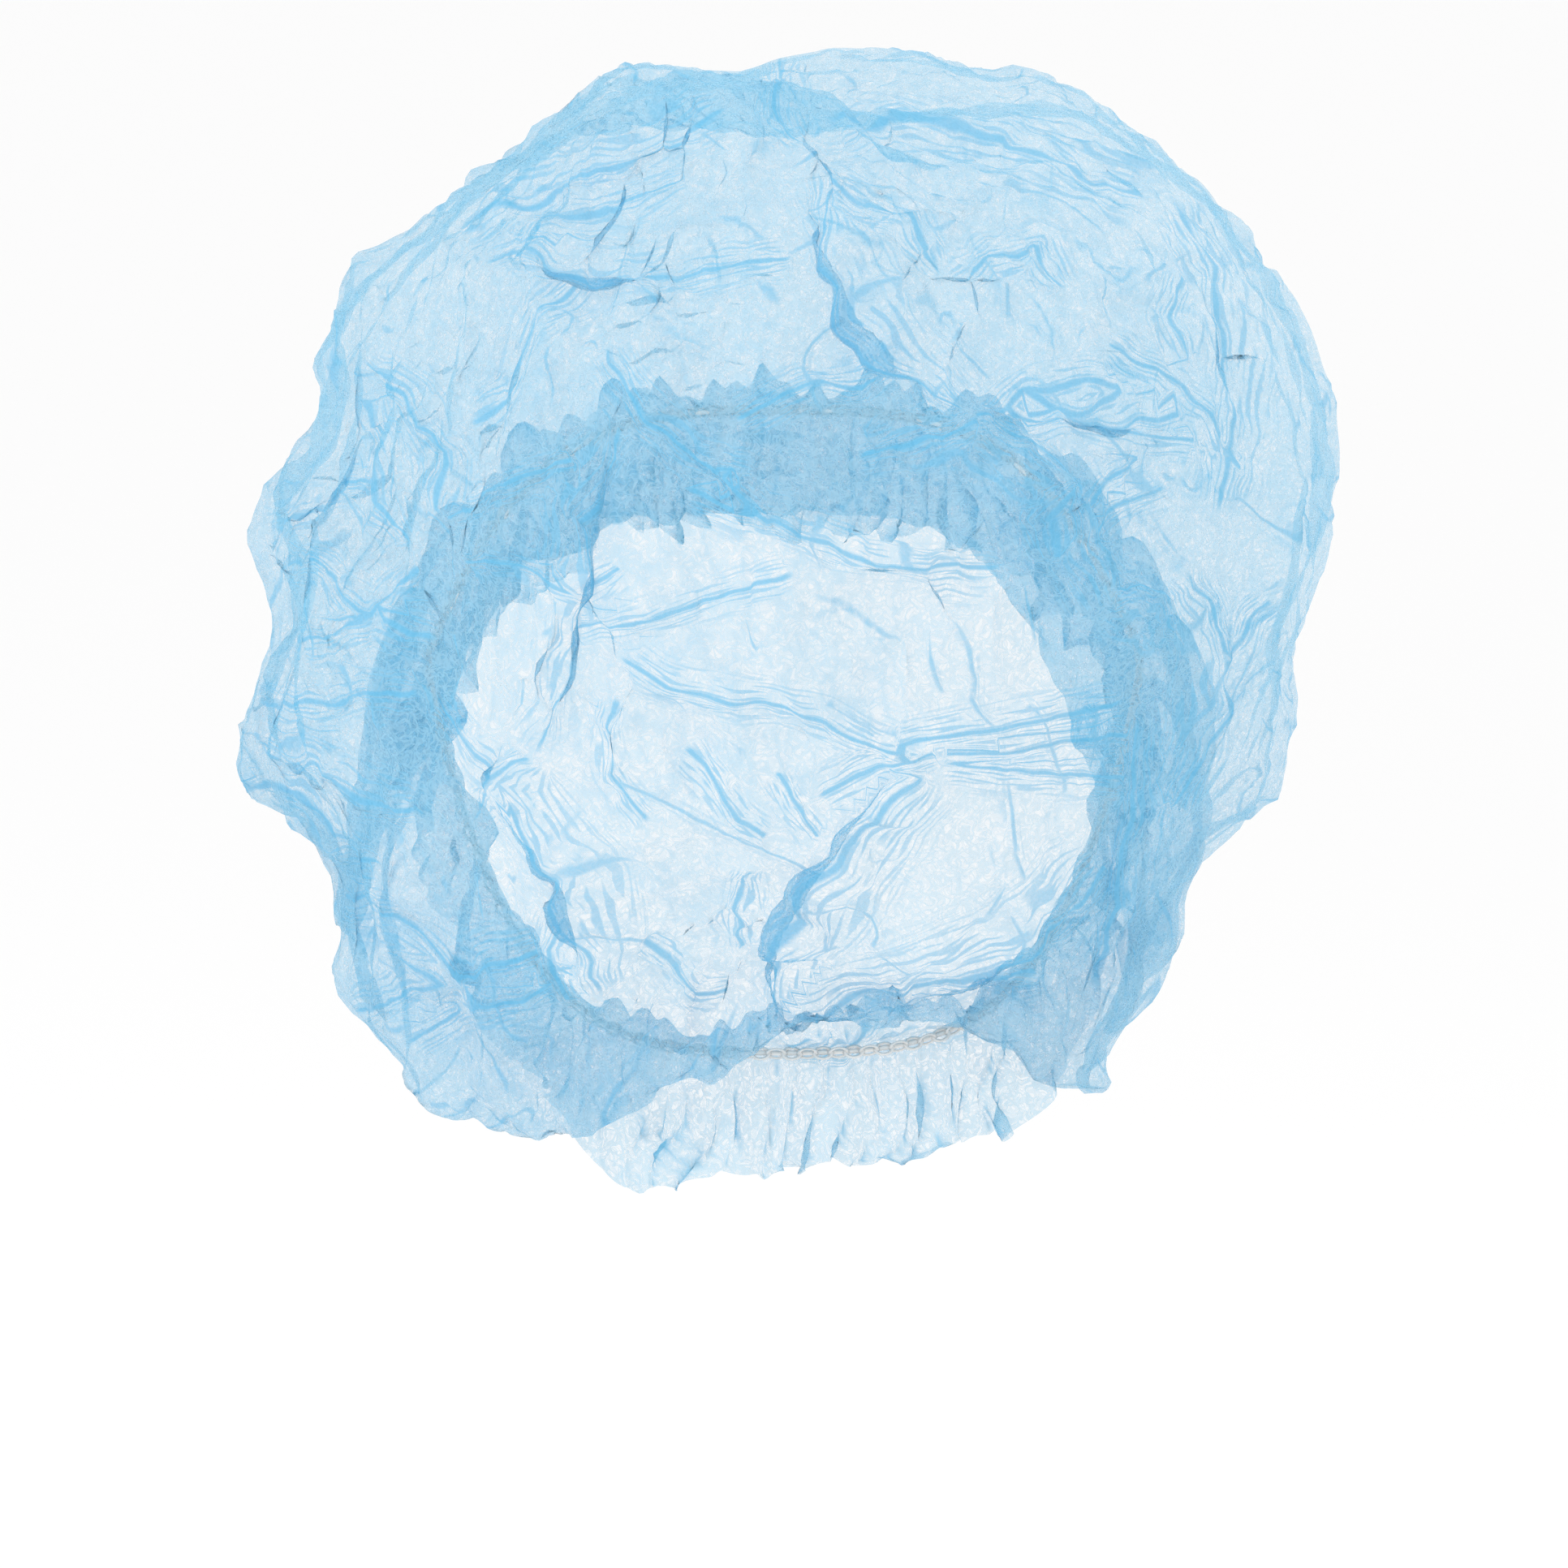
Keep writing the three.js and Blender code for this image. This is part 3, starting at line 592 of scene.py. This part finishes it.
def frill_shapes(grid, normals, turns, down):
    """The frill's ruffles, which lean over one another, and the uneven line of its cut edge."""
    fall = np.clip((down - (down[-1] - FRILL_LENGTH)) / FRILL_LENGTH, 0, 1)
    sideways = np.stack([np.cos(turns), np.sin(turns), 0 * turns], axis=1)
    wave = np.zeros((len(down), len(turns)))
    lean = np.zeros_like(wave)
    uneven = np.zeros_like(wave)
    for row, share in enumerate(fall):
        if share <= 0:
            continue
        for k, t in enumerate(turns):
            place = Vector((math.cos(t) * 3, math.sin(t) * 3, share * 1.6))
            phase = t * RUFFLES + 5.5 * noise.noise(place) + share * 1.8
            swell = 0.75 + 0.9 * noise.noise(place * 1.7 + Vector((4, 4, 4)))
            wave[row, k] = math.sin(phase) * swell
            wave[row, k] += 0.35 * math.sin(t * RUFFLES * 2.3 + 6 * noise.noise(place * 1.4))
            lean[row, k] = math.sin(2 * phase + 0.6) * swell
            uneven[row, k] = noise.noise(place * 1.6 + Vector((1, 1, 4)))
    share = fall[:, None] ** 0.5
    grid += normals * (share * wave * RUFFLE_HEIGHT)[..., None]
    grid += sideways[None] * (share * lean * RUFFLE_LEAN)[..., None]
    grid[..., 2] += fall[:, None] * (uneven * 7 + wave * 1.2 + 1) * MM
    return grid


def raise_nape_hem(grid, down):
    """Lifts the hem off the elastic in the middle of the nape, where the stitching shows."""
    near = np.clip(1 - abs(grid[..., 0] - NAPE_LIFT_MIDDLE) / NAPE_LIFT_REACH, 0, 1)
    low = smooth_step(-grid[..., 2], NAPE_LIFT_TOP, NAPE_LIFT_TOP + 24 * MM) * (grid[..., 1] < -0.04)
    above = crown_share(down, 42 * MM, 33 * MM)
    grid[..., 2] += NAPE_LIFT * near**0.5 * low * above
    return grid


def shape_cloth(grid, smooth, turns, down):
    """The cloth in all its forms, and how it lies beside its creases and folds."""
    normals = normals_of(grid)
    crown = crown_share(down, 62 * MM, 38 * MM)
    heights, ridges, away, near = crumple(grid)
    heights = heights * crown * smooth_step(down, 0, 30 * MM)[:, None]
    moves, beside = lay_folds(smooth)
    shaped = grid + normals * (heights + gather_depths(turns, down))[..., None]
    shaped = frill_shapes(shaped, normals, turns, down)
    shaped = raise_nape_hem(hold_outline(shaped, smooth, down), down) + moves
    shaped = eased(shaped, down)
    beside["crease"] = np.maximum(ridges * crown, bends_of(shaped))
    beside["line_away"] = away
    beside["line_near"] = near * crown
    beside["bunch"] = np.broadcast_to(bunching_of(shaped, down)[:, None], shaped.shape[:2])
    return shaped, beside


# The cloth as an object

def pulls_of(grid):
    """The way from each point to the middle of its neighbours, and how sharply it bends there."""
    spread = (np.roll(grid, 1, 1) + np.roll(grid, -1, 1)) / 2 - grid
    rise = np.zeros_like(grid)
    rise[1:-1] = (grid[2:] + grid[:-2]) / 2 - grid[1:-1]
    reach = np.linalg.norm(np.roll(grid, 1, 1) - grid, axis=2) + 0.4 * MM
    bend = (np.linalg.norm(spread, axis=2) + np.linalg.norm(rise, axis=2)) / reach
    return spread, rise, bend


def bends_of(grid):
    """How sharply the cloth bends at each point, from 0 to 1."""
    return smooth_step(pulls_of(grid)[2], *BEND_SEEN)


def eased(grid, down):
    """The cloth with its sharpest bends let out a little, apart from those of the waist and the frill."""
    crown = crown_share(down, 62 * MM, 46 * MM)
    for _ in range(EASE_ROUNDS):
        spread, rise, bend = pulls_of(grid)
        share = smooth_step(bend, *BEND_EASED) * crown
        share = np.maximum(share, (np.roll(share, 1, 1) + np.roll(share, -1, 1)) / 2)
        grid = grid + (spread + rise) * (0.5 * share)[..., None]
    return grid


def bunching_of(grid, down):
    """How many times more cloth the flat disc has in each row than the shaped one, within limits."""
    rounds = np.linalg.norm(np.roll(grid, 1, 1) - grid, axis=2).sum(axis=1)
    flat = 2 * math.pi * down
    most = np.interp(down, [down[-1] - 42 * MM, down[-1] - 30 * MM], MOST_BUNCHED)
    return np.clip(flat / rounds, 1, most)


def add_float_attribute(mesh, name, values):
    attribute = mesh.attributes.new(name, "FLOAT", "POINT")
    attribute.data.foreach_set("value", np.asarray(values, np.float32).ravel())


def make_cloth(frame):
    seat, rings = outer_rings(frame["nodes"]["bouffant_cloth"])
    smooth, down = smooth_grid(seat, rings)
    loose = smooth + normals_of(smooth) * start_depths(smooth)[..., None]
    loose = buckle(seat, loose, down)
    loose = finer_grid(loose, down)[0]
    smooth, down = finer_grid(smooth, down)
    turns = turns_of(COLUMNS) * 2 * math.pi
    grid, fields = shape_cloth(loose, smooth, turns, down)
    mesh = grid_mesh("bouffant_sheet", seat, grid)
    for name, values in fields.items():
        add_float_attribute(mesh, name, np.concatenate([values.ravel()[:1], values.ravel()]))
    mesh.shade_smooth()
    cloth = bpy.data.objects.new("bouffant_sheet", mesh)
    bpy.context.scene.collection.objects.link(cloth)
    cloth.data.materials.append(cloth_finish())
    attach(cloth, "root")
    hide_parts("bouffant_cloth")
    return cloth


# The elastic and its stitching

def cord_path(node):
    """Points evenly spaced along the middle of the elastic."""
    points = np.array([tuple(v.co) for v in node.data.vertices])
    turns = np.arctan2(points[:, 0], -points[:, 1])
    steps = np.linspace(-math.pi, math.pi, 721)
    apart = (steps[:, None] - turns[None, :] + math.pi) % (2 * math.pi) - math.pi
    share = np.exp(-((apart / math.radians(3)) ** 2))
    path = share @ points / share.sum(axis=1, keepdims=True)
    run = np.concatenate([[0], np.cumsum(np.linalg.norm(np.diff(path, axis=0), axis=1))])
    count = int(run[-1] / LINK_SPACING)
    places = np.arange(count) / count * run[-1]
    return np.stack([np.interp(places, run, path[:, k]) for k in range(3)], axis=1)


def make_core(node):
    """The elastic thread itself: the frame's cord, finer."""
    core = node.copy()
    core.data = node.data.copy()
    core.name = "elastic_core"
    bpy.context.scene.collection.objects.link(core)
    pick(core)
    bpy.ops.object.mode_set(mode="EDIT")
    bpy.ops.mesh.select_all(action="SELECT")
    bpy.ops.mesh.remove_doubles(threshold=0.01 * MM)
    bpy.ops.mesh.normals_make_consistent(inside=False)
    bpy.ops.transform.shrink_fatten(value=-CORE_SHRINK)
    bpy.ops.object.mode_set(mode="OBJECT")
    rounder = core.modifiers.new("rounder", "SUBSURF")
    rounder.levels = rounder.render_levels = 1
    bpy.ops.object.modifier_apply(modifier=rounder.name)
    bpy.ops.object.shade_smooth()
    core.data.materials.clear()
    core.data.materials.append(thread_finish("elastic_thread", 0.8 * MM))
    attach(core, "root")
    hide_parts("elastic_cord")


def pick(piece):
    bpy.ops.object.select_all(action="DESELECT")
    piece.select_set(True)
    bpy.context.view_layer.objects.active = piece


def make_chain(node):
    """The chain stitch: one loop of thread for each stitch, laid along the elastic."""
    bpy.ops.object.select_all(action="DESELECT")
    bpy.ops.mesh.primitive_torus_add(
        major_segments=12, minor_segments=4, major_radius=LINK_RADIUS, minor_radius=LINK_THREAD)
    link = bpy.context.object
    link.scale = (LINK_LENGTH, 1, 1)
    bpy.ops.object.transform_apply(location=False, rotation=False, scale=True)
    bpy.ops.object.shade_smooth()
    path = cord_path(node)
    middle = path.mean(axis=0)
    links = []
    for index, place in enumerate(path):
        copy = link.copy()
        copy.data = link.data.copy()
        bpy.context.scene.collection.objects.link(copy)
        along = Vector(path[(index + 1) % len(path)] - path[index - 1]).normalized()
        out = Vector((place[0] - middle[0], place[1] - middle[1], 0)).normalized()
        side = out.cross(along).normalized()
        out = along.cross(side)
        turn = Matrix((along, side, out)).transposed().to_4x4()
        tilt = Matrix.Rotation(LINK_TILT * (1 if index % 2 else -1), 4, "X")
        copy.matrix_world = Matrix.Translation(Vector(place) + out * 0.5 * MM) @ turn @ tilt
        links.append(copy)
    bpy.data.objects.remove(link)
    bpy.ops.object.select_all(action="DESELECT")
    for copy in links:
        copy.select_set(True)
    bpy.context.view_layer.objects.active = links[0]
    bpy.ops.object.join()
    chain = bpy.context.object
    chain.name = "chain_stitch"
    bpy.ops.object.transform_apply(location=True, rotation=True, scale=True)
    chain.data.materials.clear()
    chain.data.materials.append(thread_finish("stitch_thread", 0.5 * MM))
    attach(chain, "root")


# Finishes

class Wire:
    """A socket in a finish, with the operators that the finishes use on numbers."""

    def __init__(self, finish, socket):
        self.finish = finish
        self.socket = socket

    def math(self, operation, *values):
        return self.finish.add("ShaderNodeMath", values, operation=operation)

    def __add__(self, other):
        return self.math("ADD", self, other)

    def __sub__(self, other):
        return self.math("SUBTRACT", self, other)

    def __rsub__(self, other):
        return self.math("SUBTRACT", other, self)

    def __mul__(self, other):
        return self.math("MULTIPLY", self, other)

    def __pow__(self, other):
        return self.math("POWER", self, other)

    def __abs__(self):
        return self.math("ABSOLUTE", self)

    def most(self, other):
        return self.math("MAXIMUM", self, other)

    __radd__ = __add__
    __rmul__ = __mul__


def is_colour(socket):
    """A colour socket holds four numbers."""
    return hasattr(socket.default_value, "__len__") and len(socket.default_value) == 4


class Finish:
    """A material made of nodes."""

    def __init__(self, name):
        self.material = bpy.data.materials.new(name)
        self.material.use_nodes = True
        self.tree = self.material.node_tree
        self.tree.nodes.clear()

    def add(self, kind, inputs=(), output=0, **settings):
        """Adds a node: its settings first, then the values or wires of its sockets."""
        node = self.tree.nodes.new(kind)
        for name, value in settings.items():
            setattr(node, name, value)
        pairs = inputs.items() if isinstance(inputs, dict) else enumerate(inputs)
        for name, value in pairs:
            socket = node.inputs[name]
            if isinstance(value, Wire):
                self.tree.links.new(value.socket, socket)
            elif is_colour(socket) and len(value) == 3:
                socket.default_value = (*value, 1)
            else:
                socket.default_value = value
        return Wire(self, node.outputs[output])

    def ramp(self, value, low, high):
        """A soft step from 0 at low to 1 at high."""
        inputs = {"Value": value, "From Min": low, "From Max": high}
        return self.add("ShaderNodeMapRange", inputs, interpolation_type="SMOOTHSTEP")

    def mix(self, factor, a, b):
        """A colour between two."""
        inputs = {0: factor, 6: a, 7: b}
        return self.add("ShaderNodeMix", inputs, output=2, data_type="RGBA")

    def close(self, shader):
        output = self.tree.nodes.new("ShaderNodeOutputMaterial")
        self.tree.links.new(shader.socket, output.inputs["Surface"])
        return self.material


def fibre_lines(finish, place, size, seed, detail):
    """A curly fibre wherever a noise crosses its middle value: 1 on the fibre, 0 beside it."""
    shift = (seed * 1.37, seed * 2.11, seed * 0.73)
    shifted = finish.add("ShaderNodeVectorMath", [place, shift], operation="ADD")
    level = finish.add(
        "ShaderNodeTexNoise",
        {"Vector": shifted, "Scale": 1 / size, "Detail": detail, "Roughness": 0.45},
    )
    away = abs(level - 0.5)
    half = FIBRE_WIDTH / size
    return finish.add(
        "ShaderNodeMapRange",
        {"Value": away, "From Min": half * 0.35, "From Max": half * 1.1,
         "To Min": 1.0, "To Max": 0.0},
        interpolation_type="SMOOTHSTEP",
    )


def drawn_creases(finish, cloud):
    """The thin dense lines of the folds and creases, and the fibres combed along beside them."""
    values = {
        name: finish.add("ShaderNodeAttribute", output="Fac", attribute_name=name)
        for name in ("fold_near", "fold_across", "fold_along", "line_away", "line_near")
    }
    near, across, away = values["fold_near"], values["fold_across"], values["line_away"]
    comb = finish.add("ShaderNodeCombineXYZ", [across * 2.0, values["fold_along"] * 0.1, 0.0])
    streaks = finish.add("ShaderNodeTexNoise", {"Vector": comb, "Scale": 1.0, "Detail": 0.0})
    streaks = finish.ramp(streaks, 0.48, 0.62) * finish.ramp(near, 0.05, 0.8)
    ridge = finish.ramp(abs(across), 0.75, 0.2) * finish.ramp(near, 0.2, 0.6)
    comb = finish.add("ShaderNodeCombineXYZ", [away * 2.4, cloud * 9.0, 5.0])
    fine = finish.add("ShaderNodeTexNoise", {"Vector": comb, "Scale": 1.0, "Detail": 0.0})
    fine = finish.ramp(fine, 0.5, 0.66) * finish.ramp(abs(away), 3.5, 0.3)
    vein = finish.ramp(abs(away) - 0.3 * values["line_near"], 0.12, -0.2)
    vein = vein.most(0.5 * fine) * values["line_near"]
    return ridge.most(0.75 * streaks).most(0.8 * vein)


def cloth_finish():
    """The non-woven web: a thin veil under curly fibres, denser where the cloth is bunched or creased."""
    finish = Finish("spunbond_web")
    place = finish.add("ShaderNodeTexCoord", output="Object")
    crease = finish.add("ShaderNodeAttribute", output="Fac", attribute_name="crease")
    bunch = finish.add("ShaderNodeAttribute", output="Fac", attribute_name="bunch")
    cloud = finish.add("ShaderNodeTexNoise", {"Vector": place, "Scale": 90.0, "Detail": 1.0})
    crease = crease.most(drawn_creases(finish, cloud))
    inputs = {"Vector": place, "Scale": 1 / SWIRL_SIZE, "Detail": 0.0}
    swirl = finish.add("ShaderNodeTexNoise", inputs, output=1)
    curl = finish.add("ShaderNodeVectorMath", {0: swirl, "Scale": SWIRL_DEPTH}, operation="SCALE")
    curled = finish.add("ShaderNodeVectorMath", [place, curl], operation="ADD")
    layers = [
        fibre_lines(finish, curled, size, seed, 1.0 if seed <= TOP_LAYERS else 0.0)
        for seed, size in enumerate(FIBRE_SIZES, 1)
    ]
    fleck = finish.add("ShaderNodeTexNoise", {"Vector": place, "Scale": 1 / FLECK_SIZE, "Detail": 0.0})
    top = layers[0].most(layers[1])
    under = layers[2].most(layers[3]).most(layers[4])
    veil = 0.1 + 0.16 * cloud
    open_share = (1 - veil) * (1 - 0.42 * top) * (1 - 0.22 * under)
    layered = 1 - open_share ** (COVER_FLAT + COVER_BUNCHED * bunch)
    cover = layered + (1 - layered) * crease * CREASE_COVER
    tint = finish.mix(0.45 * top + 0.15 * cloud, CLOTH_BLUE, CLOTH_PALE)
    colour = finish.mix(crease * 0.8, tint, CREASE_BLUE)
    bump = finish.add("ShaderNodeBump", {"Strength": 0.5, "Distance": 0.12 * MM, "Height": fleck})
    skin = finish.add("ShaderNodeBsdfPrincipled", {
        "Base Color": colour, "Roughness": 0.62, "Specular IOR Level": 0.35, "Normal": bump,
        "Sheen Weight": 0.25, "Sheen Roughness": 0.5,
    })
    glow = finish.add("ShaderNodeBsdfTranslucent", {"Color": colour, "Normal": bump})
    clear = finish.add("ShaderNodeBsdfTransparent")
    body = finish.add("ShaderNodeMixShader", [0.5, skin, glow])
    return finish.close(finish.add("ShaderNodeMixShader", [cover, clear, body]))


def thread_finish(name, ribs):
    """White thread: fine ribs across it and a little fluff."""
    finish = Finish(name)
    place = finish.add("ShaderNodeTexCoord", output="Object")
    fluff = finish.add("ShaderNodeTexNoise", {"Vector": place, "Scale": 1 / (0.6 * MM), "Detail": 3.0})
    twist = finish.add("ShaderNodeTexNoise", {"Vector": place, "Scale": 1 / ribs, "Distortion": 1.2})
    colour = finish.mix(fluff, tuple(c * 0.78 for c in THREAD_WHITE), THREAD_WHITE)
    bump = finish.add("ShaderNodeBump", {"Strength": 0.7, "Distance": 0.1 * MM, "Height": fluff + twist})
    skin = finish.add("ShaderNodeBsdfPrincipled", {
        "Base Color": colour, "Roughness": 0.7, "Specular IOR Level": 0.3, "Normal": bump,
        "Sheen Weight": 0.4,
    })
    return finish.close(skin)


def plain_finish(name, colour, roughness):
    finish = Finish(name)
    inputs = {"Base Color": colour, "Roughness": roughness}
    return finish.close(finish.add("ShaderNodeBsdfPrincipled", inputs))


# The stage

def make_stage():
    """A plain pale floor, lit softly from all round."""
    bpy.ops.object.select_all(action="DESELECT")
    bpy.ops.mesh.primitive_plane_add(size=1, location=(0, 0, -FLOOR_DEPTH))
    floor = bpy.context.object
    floor.name = "floor"
    floor.scale = (FLOOR_SIZE, FLOOR_SIZE, 1)
    bpy.ops.object.transform_apply(location=True, rotation=True, scale=True)
    floor.data.materials.append(plain_finish("pale_floor", (0.97, 0.97, 0.97), 0.9))
    world = bpy.data.worlds.new("studio")
    world.use_nodes = True
    background = world.node_tree.nodes["Background"]
    background.inputs["Color"].default_value = (1, 1, 1, 1)
    background.inputs["Strength"].default_value = 1.0
    bpy.context.scene.world = world
    for name, place, size, power in LAMPS:
        data = bpy.data.lights.new(name, "AREA")
        data.size = size
        data.energy = power
        light = bpy.data.objects.new(name, data)
        light.location = place
        light.rotation_mode = "QUATERNION"
        light.rotation_quaternion = (CAMERA_AIM - Vector(place)).to_track_quat("-Z", "Y")
        bpy.context.scene.collection.objects.link(light)


def set_light_limits(scene):
    """How far light goes through the layers of cloth, and how its colours are shown."""
    scene.view_settings.view_transform = "Standard"
    scene.cycles.transparent_max_bounces = 16
    scene.cycles.max_bounces = 5
    scene.cycles.diffuse_bounces = 2


def main():
    noise.seed_set(CHANCE_SEED)
    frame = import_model()
    bpy.ops.object.select_all(action="DESELECT")
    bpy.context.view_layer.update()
    make_camera()
    make_stage()
    make_cloth(frame)
    make_core(frame["nodes"]["elastic_cord"])
    make_chain(frame["nodes"]["elastic_cord"])
    set_light_limits(bpy.context.scene)


main()
